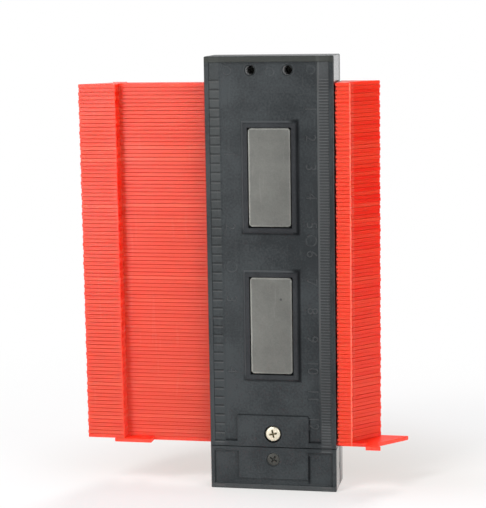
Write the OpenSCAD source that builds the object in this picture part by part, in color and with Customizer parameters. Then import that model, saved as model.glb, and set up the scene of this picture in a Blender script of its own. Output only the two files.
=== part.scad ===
// Contour gauge: a stack of thin plastic teeth slides sideways through a slim two-part body.
// The gauge stands on its end with the magnet side towards -Y and the tracing side towards +Y.
// X runs along the teeth, Z runs up the stack, and the origin is the centre of the base.

/* [Body] */
// Width of the body, along the teeth
body_width = 45; // [40:0.1:56]
// Depth of the body, from the magnet side to the tracing side
body_depth = 17; // [16.6:0.1:22]
// Height of the end block below the rear cover
end_height = 15.4; // [14.8:0.1:24]
// Height of the closed block above the teeth
top_height = 9; // [8:0.1:16]
// Depth of the end cover, from the magnet side to its parting line
end_cover_depth = 8.5; // [7.8:0.1:10]
// Thickness of the front housing behind the closed block
front_lip = 3.7; // [3.4:0.1:4.4]
// Radius of the long outer corners
corner_radius = 0.6; // [0.2:0.1:1.2]
// Chamfer round the ends of the body
end_chamfer = 0.4; // [0.1:0.1:1]

/* [Teeth] */
// Number of teeth in the stack
tooth_count = 94; // [60:1:94]
// Thickness of one tooth
tooth_thickness = 1.29; // [1:0.01:1.6]
// Air between two teeth
tooth_gap = 0.07; // [0.05:0.01:0.15]
// Length of the narrow neck between the two heads
neck_length = 76.9; // [70:0.1:110]
// Depth of the narrow neck
neck_depth = 7.6; // [7:0.1:7.8]
// Length of a head, from the neck to the tip
head_length = 13.45; // [11:0.05:20]
// How far the heads stay inside the two faces of the body
head_inset = 0.3; // [0.1:0.1:0.8]
// Width of the stop lug on each head
lug_width = 5.3; // [4:0.1:7]
// How far the outer side of the lug leans back in
lug_lean = 1.6; // [0.4:0.1:2.4]
// Depth of the notch behind the lug
notch_depth = 5.2; // [3:0.1:6]
// Blunt width of the tracing tip
tip_flat = 0.6; // [0.2:0.1:1.5]
// Largest stray offset of a tooth in the stack
stray = 0.3; // [0:0.05:0.6]
// How far the lowest tooth is slid out
slid_out = 9.9; // [0:0.1:20]

/* [Clearances] */
// Air between a neck and the walls of the body
slot_clear = 0.15; // [0.1:0.05:0.3]
// Air between a head and the side of the body at the end of its travel
stop_gap = 0.3; // [0.1:0.1:1]
// Air below the lowest tooth
floor_gap = 0.2; // [0.1:0.05:0.5]
// Air above the highest tooth
roof_gap = 0.3; // [0.1:0.05:1]
// Open seam between the rear cover and the end cover
seam_gap = 0.25; // [0.1:0.05:0.5]
// Air round parts that are laid into a pocket
pocket_clear = 0.2; // [0.1:0.05:0.4]
// Radial air between a screw and its thread
thread_clear = 0.03; // [0.02:0.01:0.08]

/* [Rear face] */
// Width of the raised rim along the two sides
rim_width = 1.75; // [1:0.05:3]
// Height of the raised bar along the top
top_bar = 2.1; // [1:0.1:3]
// Height of the raised bar along the bottom
foot_bar = 1.8; // [1:0.1:3]
// How far the field is sunk below the rim
field_depth = 0.8; // [0.4:0.1:1]
// Width of the two ruler strips
strip_width = 3.45; // [2.5:0.05:4]
// How far the ruler strips are sunk below the rim
strip_depth = 0.4; // [0.2:0.1:0.8]
// Width of the slope between a ruler strip and the field
strip_slope = 0.8; // [0.2:0.1:1.5]
// Half width of the raised plate round the tension screw
tension_plate_half = 12.75; // [8:0.05:15]
// Top of the raised plate above the seam
tension_plate_top = 11.2; // [9:0.1:14]
// Radius of the raised plate's corners
tension_plate_radius = 0.8; // [0.3:0.1:0.9]
// Diameter of the two deep screw wells in the closed block
well_diameter = 3.2; // [3.1:0.1:4]
// Distance between the two screw wells
well_spacing = 13; // [10:0.1:20]
// Distance of the screw wells below the top
well_drop = 4.9; // [4:0.1:6]
// Soft chamfer round each screw well
well_chamfer = 0.4; // [0.1:0.1:0.6]

/* [Magnets] */
// Width of a magnet
magnet_width = 14.7; // [12:0.1:16]
// Height of a magnet
magnet_height = 34.1; // [28:0.1:36]
// Thickness of a magnet
magnet_thickness = 2.5; // [1.5:0.1:2.6]
// Air round a magnet in its pocket
magnet_clear = 0.3; // [0.1:0.05:0.6]
// Radius of the corners of a magnet
magnet_radius = 1.2; // [0.5:0.1:2]
// Width of the frame round a magnet, at its foot
frame_border = 2.2; // [1.5:0.1:2.8]
// How far the sides of a frame slope in
frame_slope = 0.7; // [0.1:0.1:1]
// How far a frame stands above the rim
frame_rise = 0.25; // [0:0.05:0.4]
// How far a magnet stays below its frame
magnet_drop = 0.1; // [0:0.05:0.3]
// How far a magnet sits above the middle of its pocket
magnet_lift = 0.15; // [0:0.05:0.2]
// Height of the lower magnet's centre above the seam
magnet_rise = 43.3; // [36:0.1:46]
// Distance between the centres of the two magnets
magnet_spacing = 51.9; // [46:0.1:56]

/* [Tension screw] */
// Height of the tension screw above the seam
tension_rise = 4.65; // [4.2:0.05:6]
// Diameter of the tension screw's head
tension_head = 5.5; // [4.6:0.1:6]
// Thickness of the tension screw's head
tension_head_height = 1.3; // [1:0.1:1.4]
// Diameter of the tension screw's thread
tension_thread = 3; // [2.5:0.1:3.2]
// How far the head stays below the rim
tension_head_drop = 0.15; // [0:0.05:0.3]
// Radial air round the head
tension_head_clear = 0.4; // [0.2:0.05:0.8]
// Outer diameter of the threaded insert
insert_diameter = 4.8; // [4.4:0.1:5.6]
// Plastic left between the screw's seat and the threaded insert
insert_floor = 0.4; // [0.3:0.05:0.6]
// Air below the tension screw's head
tension_seat_clear = 0.12; // [0.1:0.01:0.3]
// Width of the pressure strip
pressure_width = 8; // [6:0.1:10]
// Thickness of the pressure strip
pressure_thickness = 0.5; // [0.3:0.05:0.5]
// Air between the pressure strip and the teeth
pressure_gap = 0.25; // [0.2:0.05:0.3]
// Air between the pressure strip and the tip of the screw
pressure_back = 0.17; // [0.15:0.01:0.25]
// Depth of the channel that holds the pressure strip
channel_depth = 1.2; // [1.2:0.05:1.3]
// Bare length at each end of the strips
strip_end = 1.4; // [1:0.1:4]
// Thickness of the friction liner
liner_thickness = 0.85; // [0.5:0.05:1.2]
// How far the friction liner stands off the teeth
liner_gap = 0.2; // [0.15:0.05:0.3]

/* [End cover] */
// Width of the border round the end cover's field
end_border = 1.4; // [1:0.1:2.5]
// Border below the end cover's field
end_border_low = 1.9; // [1:0.1:2.5]
// Half width of the raised island round the screw
island_half = 12.4; // [8:0.1:16]
// Height of the island's lower edge above the base
island_low = 4.1; // [3:0.1:6]
// Distance of the end cover's screw below the seam
end_screw_below = 4.4; // [4:0.1:6]
// Diameter of the end cover's screw head
end_screw_head = 4.6; // [4:0.1:5]
// Diameter of the end cover's screw thread
end_screw_thread = 2.6; // [2:0.1:3]
// How far the end cover's screw head is sunk
end_screw_drop = 0.3; // [0.1:0.1:0.5]
// Length of the end cover's screw in the front housing
end_screw_bite = 5.5; // [4:0.1:6.5]
// Width of each hook below the rear cover
hook_width = 9; // [6:0.1:11]
// Distance of each hook from the middle
hook_offset = 5; // [4:0.1:7]
// Thickness of each hook
hook_thickness = 1.8; // [1.2:0.1:2]
// Depth of each hook behind the end cover
hook_reach = 3; // [2:0.1:3.2]
// Wall of the hollow end cover
end_wall = 1.9; // [1.4:0.1:2.4]
// How far outside the hooks' inner edges the hollow begins
hollow_offset = 1; // [0.5:0.1:2]
// Thickness of the locating ribs on the front housing
rib_thickness = 1.6; // [1:0.1:2.4]
// Depth of the locating ribs in the end cover
rib_reach = 3; // [1:0.1:4]
// Height of the prising notch at the end cover's parting line
prise_height = 2.4; // [1:0.1:4]
// Height of the prising notch above the base
prise_rise = 6.5; // [3:0.1:8]
// Depth of the prising notch
prise_depth = 0.8; // [0.4:0.1:1.2]

/* [Cover screws] */
// Diameter of the cover screws' heads
cover_screw_head = 2.8; // [2.4:0.1:2.9]
// Thickness of the cover screws' heads
cover_screw_head_height = 1.2; // [0.8:0.1:1.6]
// Diameter of the cover screws' threads
cover_screw_thread = 1.7; // [1.4:0.1:1.8]
// Thickness of the floor that the cover screws clamp
cover_screw_floor = 3.8; // [2:0.1:5]
// Length of the cover screws in the front housing
cover_screw_bite = 2.7; // [2:0.1:2.8]

/* [Hidden] */
$fn = 48;
// overshoot of cutting shapes
cut = 1;
half_width = body_width / 2;
half_depth = body_depth / 2;
rear_y = -half_depth;
front_y = half_depth;
pitch = tooth_thickness + tooth_gap;
slot_half = neck_depth / 2 + slot_clear;
stack_bottom = end_height + floor_gap;
stack_top = stack_bottom + tooth_count * pitch - tooth_gap;
slot_top = stack_top + roof_gap;
body_height = slot_top + top_height;
cover_bottom = end_height + seam_gap;
top_parting = front_y - front_lip;
end_parting = rear_y + end_cover_depth;
neck_half = neck_length / 2;
tooth_half = neck_half + head_length;
head_half = half_depth - head_inset;
rest_x = half_width + stop_gap - neck_half;
field_y = rear_y + field_depth;
strip_y = rear_y + strip_depth;
field_half = half_width - rim_width;
field_low = cover_bottom + foot_bar;
field_high = body_height - top_bar;
frame_y = rear_y - frame_rise;
magnet_y = frame_y + magnet_drop;
pocket_y = magnet_y + magnet_thickness;
magnet_low_z = cover_bottom + magnet_rise;
magnet_high_z = magnet_low_z + magnet_spacing;
tension_z = cover_bottom + tension_rise;
tension_head_y = rear_y + tension_head_drop;
tension_seat_y = tension_head_y + tension_head_height;
tension_well_y = tension_seat_y + tension_seat_clear;
insert_y = tension_well_y + insert_floor;
channel_y = -slot_half - channel_depth;
pressure_front = -neck_depth / 2 - pressure_gap;
pressure_rear = pressure_front - pressure_thickness;
tension_tip_y = pressure_rear - pressure_back;
liner_rear = neck_depth / 2 + liner_gap;
liner_front = liner_rear + liner_thickness;
strips_low = stack_bottom + strip_end;
strips_high = stack_top - strip_end;
well_z = body_height - well_drop;
well_floor_y = top_parting - cover_screw_floor;
hook_y = (rear_y + strip_depth - slot_half) / 2 - hook_thickness / 2;
core_inner = hook_offset + hollow_offset;
end_screw_z = end_height - end_screw_below;
// share of a turn that spreads numbers evenly
golden_share = 0.618;
body_colour = "#46494b";
tooth_colour = "#f0503f";
magnet_colour = "#7d7d78";
steel_colour = "#9a9c9e";
brass_colour = "#d9cda6";
screw_colour = "#2a2b2c";
liner_colour = "#333333";

// Teeth 1, 2 and 3, and so on: the lowest is on its own, the others move in pairs.
row_count = ceil((tooth_count - 1) / 2) + 1;
function row_first(row) = row == 0 ? 0 : 2 * row - 1;
function row_last(row) = min(2 * row, tooth_count - 1);
function two_digits(n) = n < 10 ? str("0", n) : str(n);
function row_name(row) = row_first(row) == row_last(row)
    ? str("tooth_", two_digits(row_first(row) + 1))
    : str("teeth_", two_digits(row_first(row) + 1), "_", two_digits(row_last(row) + 1));

// Right half of a tooth, seen along the stack: neck, stop lug, notch, slanted end and tip.
head_outline = [
    [neck_half, -neck_depth / 2],
    [neck_half, -head_half],
    [neck_half + lug_width, -head_half],
    [neck_half + lug_width - lug_lean, -head_half + notch_depth],
    [tooth_half, head_half - tip_flat],
    [tooth_half, head_half],
    [neck_half, head_half],
    [neck_half, neck_depth / 2]
];
// The other half is the same half turned round, so both faces of the gauge have tips.
tooth_outline = concat(head_outline, [for (p = head_outline) -p]);

// Stray offset of a tooth, spread over the stack by the golden ratio
function stray_of(k) = stray * (k * golden_share - floor(k * golden_share));
function tooth_x(k) = rest_x + (k == 0 ? slid_out : stray_of(k));

module tooth(k) {
    translate([tooth_x(k), 0, stack_bottom + k * pitch])
        linear_extrude(tooth_thickness)
            polygon(tooth_outline);
}

module tooth_row(row) {
    color(tooth_colour)
        for (k = [row_first(row) : row_last(row)]) tooth(k);
}

// Rectangle with true round corners, centred
module rounded(width, height, radius) {
    square([width - 2 * radius, height], center = true);
    square([width, height - 2 * radius], center = true);
    for (sx = [-1, 1], sy = [-1, 1])
        translate([sx * (width / 2 - radius), sy * (height / 2 - radius)]) circle(radius);
}

// Part of the body between two depths and two heights
module slab(y0, y1, z0, z1) {
    translate([0, 0, z0])
        linear_extrude(z1 - z0)
            intersection() {
                rounded(body_width, body_depth, corner_radius);
                translate([-half_width, y0]) square([body_width, y1 - y0]);
            }
}

// Box between two corners
module box(low, high) {
    translate(low) cube(high - low);
}

// Draws in X and Z, and rises towards the magnet side from the depth y
module facing_rear(y) {
    translate([0, y, 0]) rotate([90, 0, 0]) children();
}

// Round hole or shaft along Y
module along_y(x, z, y0, y1, diameter) {
    translate([x, y1, z]) rotate([90, 0, 0]) cylinder(h = y1 - y0, d = diameter);
}

// Round hole or shaft along Y that changes its diameter evenly
module cone_along_y(x, z, y0, y1, d0, d1) {
    translate([x, y1, z]) rotate([90, 0, 0]) cylinder(h = y1 - y0, d1 = d1, d2 = d0);
}

// Chamfer round the top or the base of the body; the wedge lies outside the line at height z
module end_bevel(z, up) {
    for (turn = [0, 180]) rotate([0, 0, turn]) {
        bevel_bar(half_width, body_depth, z, up);
        rotate([0, 0, 90]) bevel_bar(half_depth, body_width, z, up);
    }
}

module bevel_bar(reach, length, z, up) {
    translate([reach, 0, z])
        rotate([90, 0, 0])
            linear_extrude(length + 2 * cut, center = true)
                polygon([[-end_chamfer, 0], [0, -up * end_chamfer], [cut, -up * end_chamfer],
                         [cut, up * cut], [-end_chamfer, up * cut]]);
}

// Outline of a raised frame across its slope: wide at the field, narrower at its top
module frame_slice(width) {
    polygon([[-width / 2, channel_y], [width / 2, channel_y], [width / 2, field_y],
             [width / 2 - frame_slope, frame_y], [-width / 2 + frame_slope, frame_y], [-width / 2, field_y]]);
}

// Raised frame with four sloping sides round a magnet
module magnet_frame(z) {
    foot_width = magnet_width + 2 * magnet_clear + 2 * frame_border;
    foot_height = magnet_height + 2 * magnet_clear + 2 * frame_border;
    translate([0, 0, z])
        intersection() {
            linear_extrude(foot_height, center = true) frame_slice(foot_width);
            rotate([0, -90, 0]) linear_extrude(foot_width, center = true) frame_slice(foot_height);
        }
}

module magnet_pocket(z) {
    facing_rear(pocket_y)
        translate([0, z])
            linear_extrude(pocket_y - frame_y + cut)
                square([magnet_width + 2 * magnet_clear, magnet_height + 2 * magnet_clear], center = true);
}

module magnet(z) {
    color(magnet_colour)
        facing_rear(pocket_y)
            translate([0, z + magnet_lift])
                linear_extrude(magnet_thickness)
                    rounded(magnet_width, magnet_height, magnet_radius);
}

// Hooks below the rear cover, or with clear above 0 the pockets for them
module hooks(clear) {
    for (side = [-1, 1])
        translate([side * (hook_offset + hook_width / 2), 0, 0])
            box([-hook_width / 2 - clear, hook_y - clear, end_height - hook_reach - clear],
                [hook_width / 2 + clear, hook_y + hook_thickness + clear, cover_bottom + cut]);
}

// Sunk field of the rear face between the rim and the two bars, deeper between the ruler strips
module rear_field() {
    inner = field_half - strip_width;
    box([-field_half, rear_y - cut, field_low], [field_half, strip_y, field_high]);
    translate([0, 0, field_low])
        linear_extrude(field_high - field_low)
            polygon([[-inner, rear_y - cut], [inner, rear_y - cut], [inner, strip_y],
                     [inner - strip_slope, field_y], [-inner + strip_slope, field_y], [-inner, strip_y]]);
}

// Raised plate round the tension screw; its lower corners end in the foot bar
module tension_plate() {
    low = foot_bar / 2;
    facing_rear(channel_y)
        translate([0, cover_bottom + (low + tension_plate_top) / 2])
            linear_extrude(channel_y - rear_y)
                rounded(2 * tension_plate_half, tension_plate_top - low, tension_plate_radius);
}

module rear_cover() {
    color(body_colour)
        difference() {
            union() {
                difference() {
                    union() {
                        slab(rear_y, -slot_half, cover_bottom, body_height);
                        slab(rear_y, top_parting, slot_top, body_height);
                    }
                    rear_field();
                    end_bevel(body_height, 1);
                }
                tension_plate();
                magnet_frame(magnet_low_z);
                magnet_frame(magnet_high_z);
                hooks(0);
            }
            magnet_pocket(magnet_low_z);
            magnet_pocket(magnet_high_z);
            // channel for the pressure strip
            box([-pressure_width / 2 - pocket_clear, channel_y, strips_low - pocket_clear],
                [pressure_width / 2 + pocket_clear, 0, strips_high + pocket_clear]);
            // seat, clearance hole and insert of the tension screw
            along_y(0, tension_z, rear_y - cut, tension_well_y, tension_head + 2 * tension_head_clear);
            along_y(0, tension_z, rear_y, channel_y, tension_thread + 2 * pocket_clear);
            along_y(0, tension_z, insert_y, channel_y + cut, insert_diameter);
            // screw wells
            for (side = [-1, 1]) {
                x = side * well_spacing / 2;
                along_y(x, well_z, rear_y - cut, well_floor_y, well_diameter);
                cone_along_y(x, well_z, rear_y - cut, field_y + well_chamfer,
                             well_diameter + 2 * (well_chamfer + field_depth + cut), well_diameter);
                along_y(x, well_z, rear_y, top_parting + cut, cover_screw_thread + 2 * pocket_clear);
            }
        }
}

module front_housing() {
    color(body_colour)
        difference() {
            union() {
                slab(slot_half, front_y, 0, slot_top);
                slab(top_parting, front_y, slot_top - cut, body_height);
                slab(end_parting, front_y, 0, end_height);
                // locating ribs that enter the hollow of the end cover
                for (side = [-1, 1])
                    translate([side * (core_inner + pocket_clear + rib_thickness / 2), 0, 0])
                        box([-rib_thickness / 2, end_parting - rib_reach, end_wall + pocket_clear],
                            [rib_thickness / 2, end_parting + cut,
                             end_height - hook_reach - end_wall - 2 * pocket_clear]);
            }
            // sunk field of the tracing face
            box([-field_half, front_y - strip_depth, top_bar], [field_half, front_y + cut, field_high]);
            // recess of the friction liner
            box([-pressure_width / 2 - pocket_clear, 0, strips_low - pocket_clear],
                [pressure_width / 2 + pocket_clear, liner_front, strips_high + pocket_clear]);
            end_bevel(body_height, 1);
            end_bevel(0, -1);
            // screw holes
            for (side = [-1, 1])
                along_y(side * well_spacing / 2, well_z, top_parting - cut,
                        top_parting + cover_screw_bite + thread_clear, cover_screw_thread + 2 * thread_clear);
            along_y(0, end_screw_z, end_parting - cut, end_parting + end_screw_bite + thread_clear,
                    end_screw_thread + 2 * thread_clear);
        }
}

module end_cover() {
    head_depth = (end_screw_head - end_screw_thread) / 2;
    head_y = rear_y + end_screw_drop;
    color(body_colour)
        difference() {
            slab(rear_y, end_parting, 0, end_height);
            // sunk field with the island round the screw left standing
            difference() {
                box([-half_width + end_border, rear_y - cut, end_border_low],
                    [half_width - end_border, field_y, cover_bottom - foot_bar]);
                box([-island_half, rear_y - 2 * cut, island_low], [island_half, front_y, end_height]);
            }
            hooks(pocket_clear);
            // hollow on each side of the screw
            for (side = [-1, 1]) {
                x0 = side * core_inner;
                x1 = side * (half_width - end_wall);
                box([min(x0, x1), field_y + end_wall, end_wall],
                    [max(x0, x1), end_parting + cut, end_height - hook_reach - end_wall]);
            }
            // countersunk screw hole
            along_y(0, end_screw_z, rear_y - cut, head_y, end_screw_head + 2 * pocket_clear);
            cone_along_y(0, end_screw_z, head_y, head_y + head_depth,
                         end_screw_head + 2 * pocket_clear, end_screw_thread + 2 * pocket_clear);
            along_y(0, end_screw_z, rear_y, end_parting + cut, end_screw_thread + 2 * pocket_clear);
            // prising notch at the parting line
            box([half_width - prise_depth, end_parting - prise_depth, prise_rise],
                [half_width + cut, end_parting + cut, prise_rise + prise_height]);
            end_bevel(0, -1);
        }
}

module magnet_upper() {
    magnet(magnet_high_z);
}

module magnet_lower() {
    magnet(magnet_low_z);
}

module tension_screw() {
    color(brass_colour) {
        along_y(0, tension_z, tension_head_y, tension_seat_y, tension_head);
        along_y(0, tension_z, tension_head_y, tension_tip_y, tension_thread);
    }
}

module tension_insert() {
    color(brass_colour)
        difference() {
            along_y(0, tension_z, insert_y, channel_y, insert_diameter);
            along_y(0, tension_z, rear_y, 0, tension_thread + 2 * thread_clear);
        }
}

module pressure_strip() {
    color(steel_colour)
        box([-pressure_width / 2, pressure_rear, strips_low], [pressure_width / 2, pressure_front, strips_high]);
}

module friction_liner() {
    color(liner_colour)
        box([-pressure_width / 2, liner_rear, strips_low], [pressure_width / 2, liner_front, strips_high]);
}

module cover_screws() {
    color(screw_colour)
        for (side = [-1, 1]) {
            x = side * well_spacing / 2;
            along_y(x, well_z, well_floor_y - cover_screw_head_height, well_floor_y, cover_screw_head);
            along_y(x, well_z, well_floor_y - cover_screw_head_height, top_parting + cover_screw_bite,
                    cover_screw_thread);
        }
}

module end_cover_screw() {
    head_depth = (end_screw_head - end_screw_thread) / 2;
    head_y = rear_y + end_screw_drop + pocket_clear;
    color(screw_colour) {
        cone_along_y(0, end_screw_z, head_y, head_y + head_depth, end_screw_head, end_screw_thread);
        along_y(0, end_screw_z, head_y, end_parting + end_screw_bite, end_screw_thread);
    }
}

rear_cover();
front_housing();
end_cover();
magnet_upper();
magnet_lower();
tension_screw();
tension_insert();
pressure_strip();
friction_liner();
cover_screws();
end_cover_screw();
for (row = [0 : row_count - 1]) tooth_row(row);
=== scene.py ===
import math

import bmesh
import bpy
from mathutils import Matrix, Vector


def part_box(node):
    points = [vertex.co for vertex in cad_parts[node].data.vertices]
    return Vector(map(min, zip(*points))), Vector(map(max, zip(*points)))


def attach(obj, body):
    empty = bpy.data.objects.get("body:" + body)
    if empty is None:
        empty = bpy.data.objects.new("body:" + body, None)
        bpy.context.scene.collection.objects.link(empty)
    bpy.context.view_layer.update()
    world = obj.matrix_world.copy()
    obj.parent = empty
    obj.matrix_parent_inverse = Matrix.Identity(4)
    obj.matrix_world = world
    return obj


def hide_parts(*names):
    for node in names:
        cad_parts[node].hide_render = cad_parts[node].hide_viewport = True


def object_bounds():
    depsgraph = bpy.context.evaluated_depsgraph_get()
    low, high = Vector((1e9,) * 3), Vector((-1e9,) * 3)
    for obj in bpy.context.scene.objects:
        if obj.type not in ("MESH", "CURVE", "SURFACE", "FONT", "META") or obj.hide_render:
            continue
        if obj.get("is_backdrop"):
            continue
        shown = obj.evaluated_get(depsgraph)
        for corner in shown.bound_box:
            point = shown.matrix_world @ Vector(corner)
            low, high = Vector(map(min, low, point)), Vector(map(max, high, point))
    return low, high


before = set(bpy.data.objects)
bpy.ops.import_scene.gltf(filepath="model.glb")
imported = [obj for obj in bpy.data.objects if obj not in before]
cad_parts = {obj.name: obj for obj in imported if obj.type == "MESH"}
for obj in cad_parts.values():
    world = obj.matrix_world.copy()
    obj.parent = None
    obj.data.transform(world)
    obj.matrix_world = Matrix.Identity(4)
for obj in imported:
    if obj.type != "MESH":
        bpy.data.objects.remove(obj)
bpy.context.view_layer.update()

# Sizes and places of the gauge, in metres, in the frame of the solids
MM = 0.001

# Body, seen on its magnet side
end_low, end_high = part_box("end_cover")
REAR_Y = end_low.y
HALF_WIDTH = end_high.x
FIELD_Y = REAR_Y + 0.8 * MM
STRIP_Y = REAR_Y + 0.4 * MM
RIM_INNER_X = HALF_WIDTH - 1.75 * MM
STRIP_INNER_X = RIM_INNER_X - 3.45 * MM
LOW_BORDER_Z = 2.1 * MM
END_FIELD_LOW_Z = 2.6 * MM
END_FIELD_HIGH_Z = 12.6 * MM
UNDER_SEAM_Z = 15.0 * MM
FIELD_LOW_Z = 17.45 * MM
PLATE_CORNER_X = 12.35 * MM
PLATE_CORNER_Z = 26.45 * MM
ABOVE_TEETH_Z = 142.0 * MM
TOP_BAR_Z = 150.2 * MM
WELL_X = 6.5 * MM
WELL_Z = 147.77 * MM
END_SEAM_Y = end_high.y
LIP_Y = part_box("front_housing")[1].y - 3.7 * MM

# Magnets, and the raised frames round them
magnet_low, magnet_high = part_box("magnet_lower")
upper_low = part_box("magnet_upper")[0]
MAGNET_Z = (magnet_low.z + magnet_high.z) / 2
MAGNET_SPACING = upper_low.z - magnet_low.z
MAGNET_HALF_X = magnet_high.x
MAGNET_HALF_Z = (magnet_high.z - magnet_low.z) / 2
FRAME_HALF_X = 9.85 * MM
FRAME_HALF_Z = 19.55 * MM
FRAME_REACH_Z = 23.0 * MM
PIT_X = 3.48 * MM
PIT_Z = 68.54 * MM

# Rulers
RULER_TOP_Z = 144.5 * MM
EIGHTH_INCH = 3.175 * MM
INCH = 8 * EIGHTH_INCH
CENTIMETRE = 10 * MM
TICK_HEIGHT = 0.22 * MM
NUMBER_SIZE = 5.4 * MM
INCH_NUMBER_X = -15.9 * MM
CENTIMETRE_NUMBER_X = 12.6 * MM

# Teeth
tooth_low, tooth_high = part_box("teeth_02_03")
TOOTH_MIDDLE = (tooth_low.x + tooth_high.x) / 2
TOOTH_PITCH = 1.36 * MM
TOOTH_THICKNESS = 1.29 * MM
TOOTH_SWELL = 0.022 * MM
STACK_BOTTOM = 15.6 * MM
NECK_HALF = 38.45 * MM
LUG_END = NECK_HALF + 5.0 * MM

# Screws
screw_low, screw_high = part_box("tension_screw")
end_screw_low, end_screw_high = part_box("end_cover_screw")
deep_low, deep_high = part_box("cover_screws")
SCREW_Z = (screw_low.z + screw_high.z) / 2
END_SCREW_Z = (end_screw_low.z + end_screw_high.z) / 2

# Distances below which points are merged
SAME_POINT = 0.002 * MM
SAME_NUMBER_POINT = 0.001 * MM


# Node helpers

def place(tree, kind, settings=None, inputs=None):
    """Adds a node, with its settings and with its inputs set to values or linked to sockets."""
    node = tree.nodes.new(kind)
    for key, value in (settings or {}).items():
        setattr(node, key, value)
    for key, value in (inputs or {}).items():
        if isinstance(value, bpy.types.NodeSocket):
            tree.links.new(value, node.inputs[key])
        else:
            node.inputs[key].default_value = value
    return node


def maths(tree, operation, first, second=0.0):
    """One step of arithmetic."""
    return place(tree, "ShaderNodeMath", {"operation": operation}, {0: first, 1: second}).outputs[0]


def plus(tree, first, second):
    """The sum of two numbers."""
    return maths(tree, "ADD", first, second)


def less(tree, first, second):
    """The first number less the second."""
    return maths(tree, "SUBTRACT", first, second)


def times(tree, first, second):
    """The product of two numbers, which is where two masks overlap."""
    return maths(tree, "MULTIPLY", first, second)


def either(tree, first, second):
    """The larger of two numbers, which is where one of two masks is set."""
    return maths(tree, "MAXIMUM", first, second)


def outside(tree, mask):
    """What a mask leaves out."""
    return less(tree, 1.0, mask)


def size_of(tree, value):
    """A number without its sign."""
    return maths(tree, "ABSOLUTE", value)


def fade(tree, value, start, end, low=0.0, high=1.0):
    """Runs smoothly from low to high while the value runs from start to end."""
    node = place(tree, "ShaderNodeMapRange", {"interpolation_type": "SMOOTHSTEP"},
                 {"Value": value, "From Min": start, "From Max": end, "To Min": low, "To Max": high})
    return node.outputs[0]


def band(tree, value, low, high, soft):
    """1 between two values, with soft ends."""
    return times(tree, fade(tree, value, low - soft, low + soft), fade(tree, value, high + soft, high - soft))


def mixed(tree, factor, first, second):
    """Mixes two colours."""
    node = place(tree, "ShaderNodeMix", {"data_type": "RGBA"}, {0: factor, 6: first, 7: second})
    return node.outputs[2]


def tinted(tree, colour, mask, strength, tint):
    """Lays a tint over a colour where a mask is set, as strongly as given."""
    return mixed(tree, times(tree, mask, strength), colour, tint)


def noise(tree, vector, scale, detail=2.0, roughness=0.5):
    """Grey noise on the object's own coordinates, scale in waves per metre."""
    node = place(tree, "ShaderNodeTexNoise", None,
                 {"Vector": vector, "Scale": scale, "Detail": detail, "Roughness": roughness})
    return node.outputs[0]


def own_vector(tree):
    """The object's own coordinates."""
    return place(tree, "ShaderNodeTexCoord").outputs["Object"]


def own_place(tree):
    """The object's own x, y and z."""
    parts = place(tree, "ShaderNodeSeparateXYZ", None, {0: own_vector(tree)}).outputs
    return parts[0], parts[1], parts[2]


def square_from(tree, x, z, centre_x, centre_z):
    """The square of the distance from a line along y."""
    return plus(tree, maths(tree, "POWER", less(tree, x, centre_x), 2.0),
                maths(tree, "POWER", less(tree, z, centre_z), 2.0))


def magnet_level(tree, z):
    """Height above the middle of the nearer magnet."""
    near = place(tree, "ShaderNodeMath", {"operation": "WRAP"},
                 {0: z, 1: MAGNET_Z + MAGNET_SPACING / 2, 2: MAGNET_Z - MAGNET_SPACING / 2}).outputs[0]
    return less(tree, near, MAGNET_Z)


def new_group(name, inputs, outputs):
    """An empty effect with named numbers going in and named numbers coming out."""
    group = bpy.data.node_groups.new(name, "ShaderNodeTree")
    for label in inputs:
        group.interface.new_socket(name=label, in_out="INPUT", socket_type="NodeSocketFloat")
    for label in outputs:
        group.interface.new_socket(name=label, in_out="OUTPUT", socket_type="NodeSocketFloat")
    return group, place(group, "NodeGroupInput").outputs, place(group, "NodeGroupOutput").inputs


def use_group(tree, group, **values):
    """Places an effect in a material with its own values."""
    inputs = {key.replace("_", " ").capitalize(): value for key, value in values.items()}
    return place(tree, "ShaderNodeGroup", {"node_tree": group}, inputs).outputs


# Effects that several finishes share

def make_grain():
    """Fine moulded or sintered grain: a height for the bump and a slow change of tone."""
    group, given, result = new_group("surface grain", ["Fineness", "Patch size"], ["Height", "Tone"])
    vector = own_vector(group)
    fine = noise(group, vector, given["Fineness"], 3.0, 0.6)
    slow = noise(group, vector, maths(group, "DIVIDE", 1.0, given["Patch size"]), 3.0, 0.55)
    group.links.new(fine, result["Height"])
    group.links.new(plus(group, times(group, fine, 0.45), times(group, slow, 0.55)), result["Tone"])
    return group


def make_handling():
    """Marks of use: fine scratches in two directions and soft smears."""
    group, given, result = new_group("handling marks", ["Density"], ["Scratches", "Smears"])
    vector = own_vector(group)
    scratches = []
    for turn, stretch in ((0.5, 0.05), (2.1, 0.08)):
        turned = place(group, "ShaderNodeMapping", None,
                       {"Vector": vector, "Rotation": (0.3, turn, 0.2), "Scale": (1.0, 1.0, stretch)})
        scratches.append(fade(group, noise(group, turned.outputs[0], given["Density"]), 0.66, 0.72))
    group.links.new(either(group, *scratches), result["Scratches"])
    group.links.new(fade(group, noise(group, vector, 55.0, 3.0, 0.6), 0.42, 0.68), result["Smears"])
    return group


grain = make_grain()
handling = make_handling()


# Finishes

def new_finish(name):
    """An empty material with its shader."""
    finish = bpy.data.materials.new(name)
    finish.use_nodes = True
    tree = finish.node_tree
    tree.nodes.clear()
    shader = place(tree, "ShaderNodeBsdfPrincipled")
    place(tree, "ShaderNodeOutputMaterial", None, {"Surface": shader.outputs[0]})
    return finish, tree, shader


def give(tree, shader, **values):
    """Sets or links the shader's sockets by name."""
    for key, value in values.items():
        socket = shader.inputs[key.replace("_", " ").title().replace("Ior", "IOR")]
        if isinstance(value, bpy.types.NodeSocket):
            tree.links.new(value, socket)
        else:
            socket.default_value = value


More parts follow.
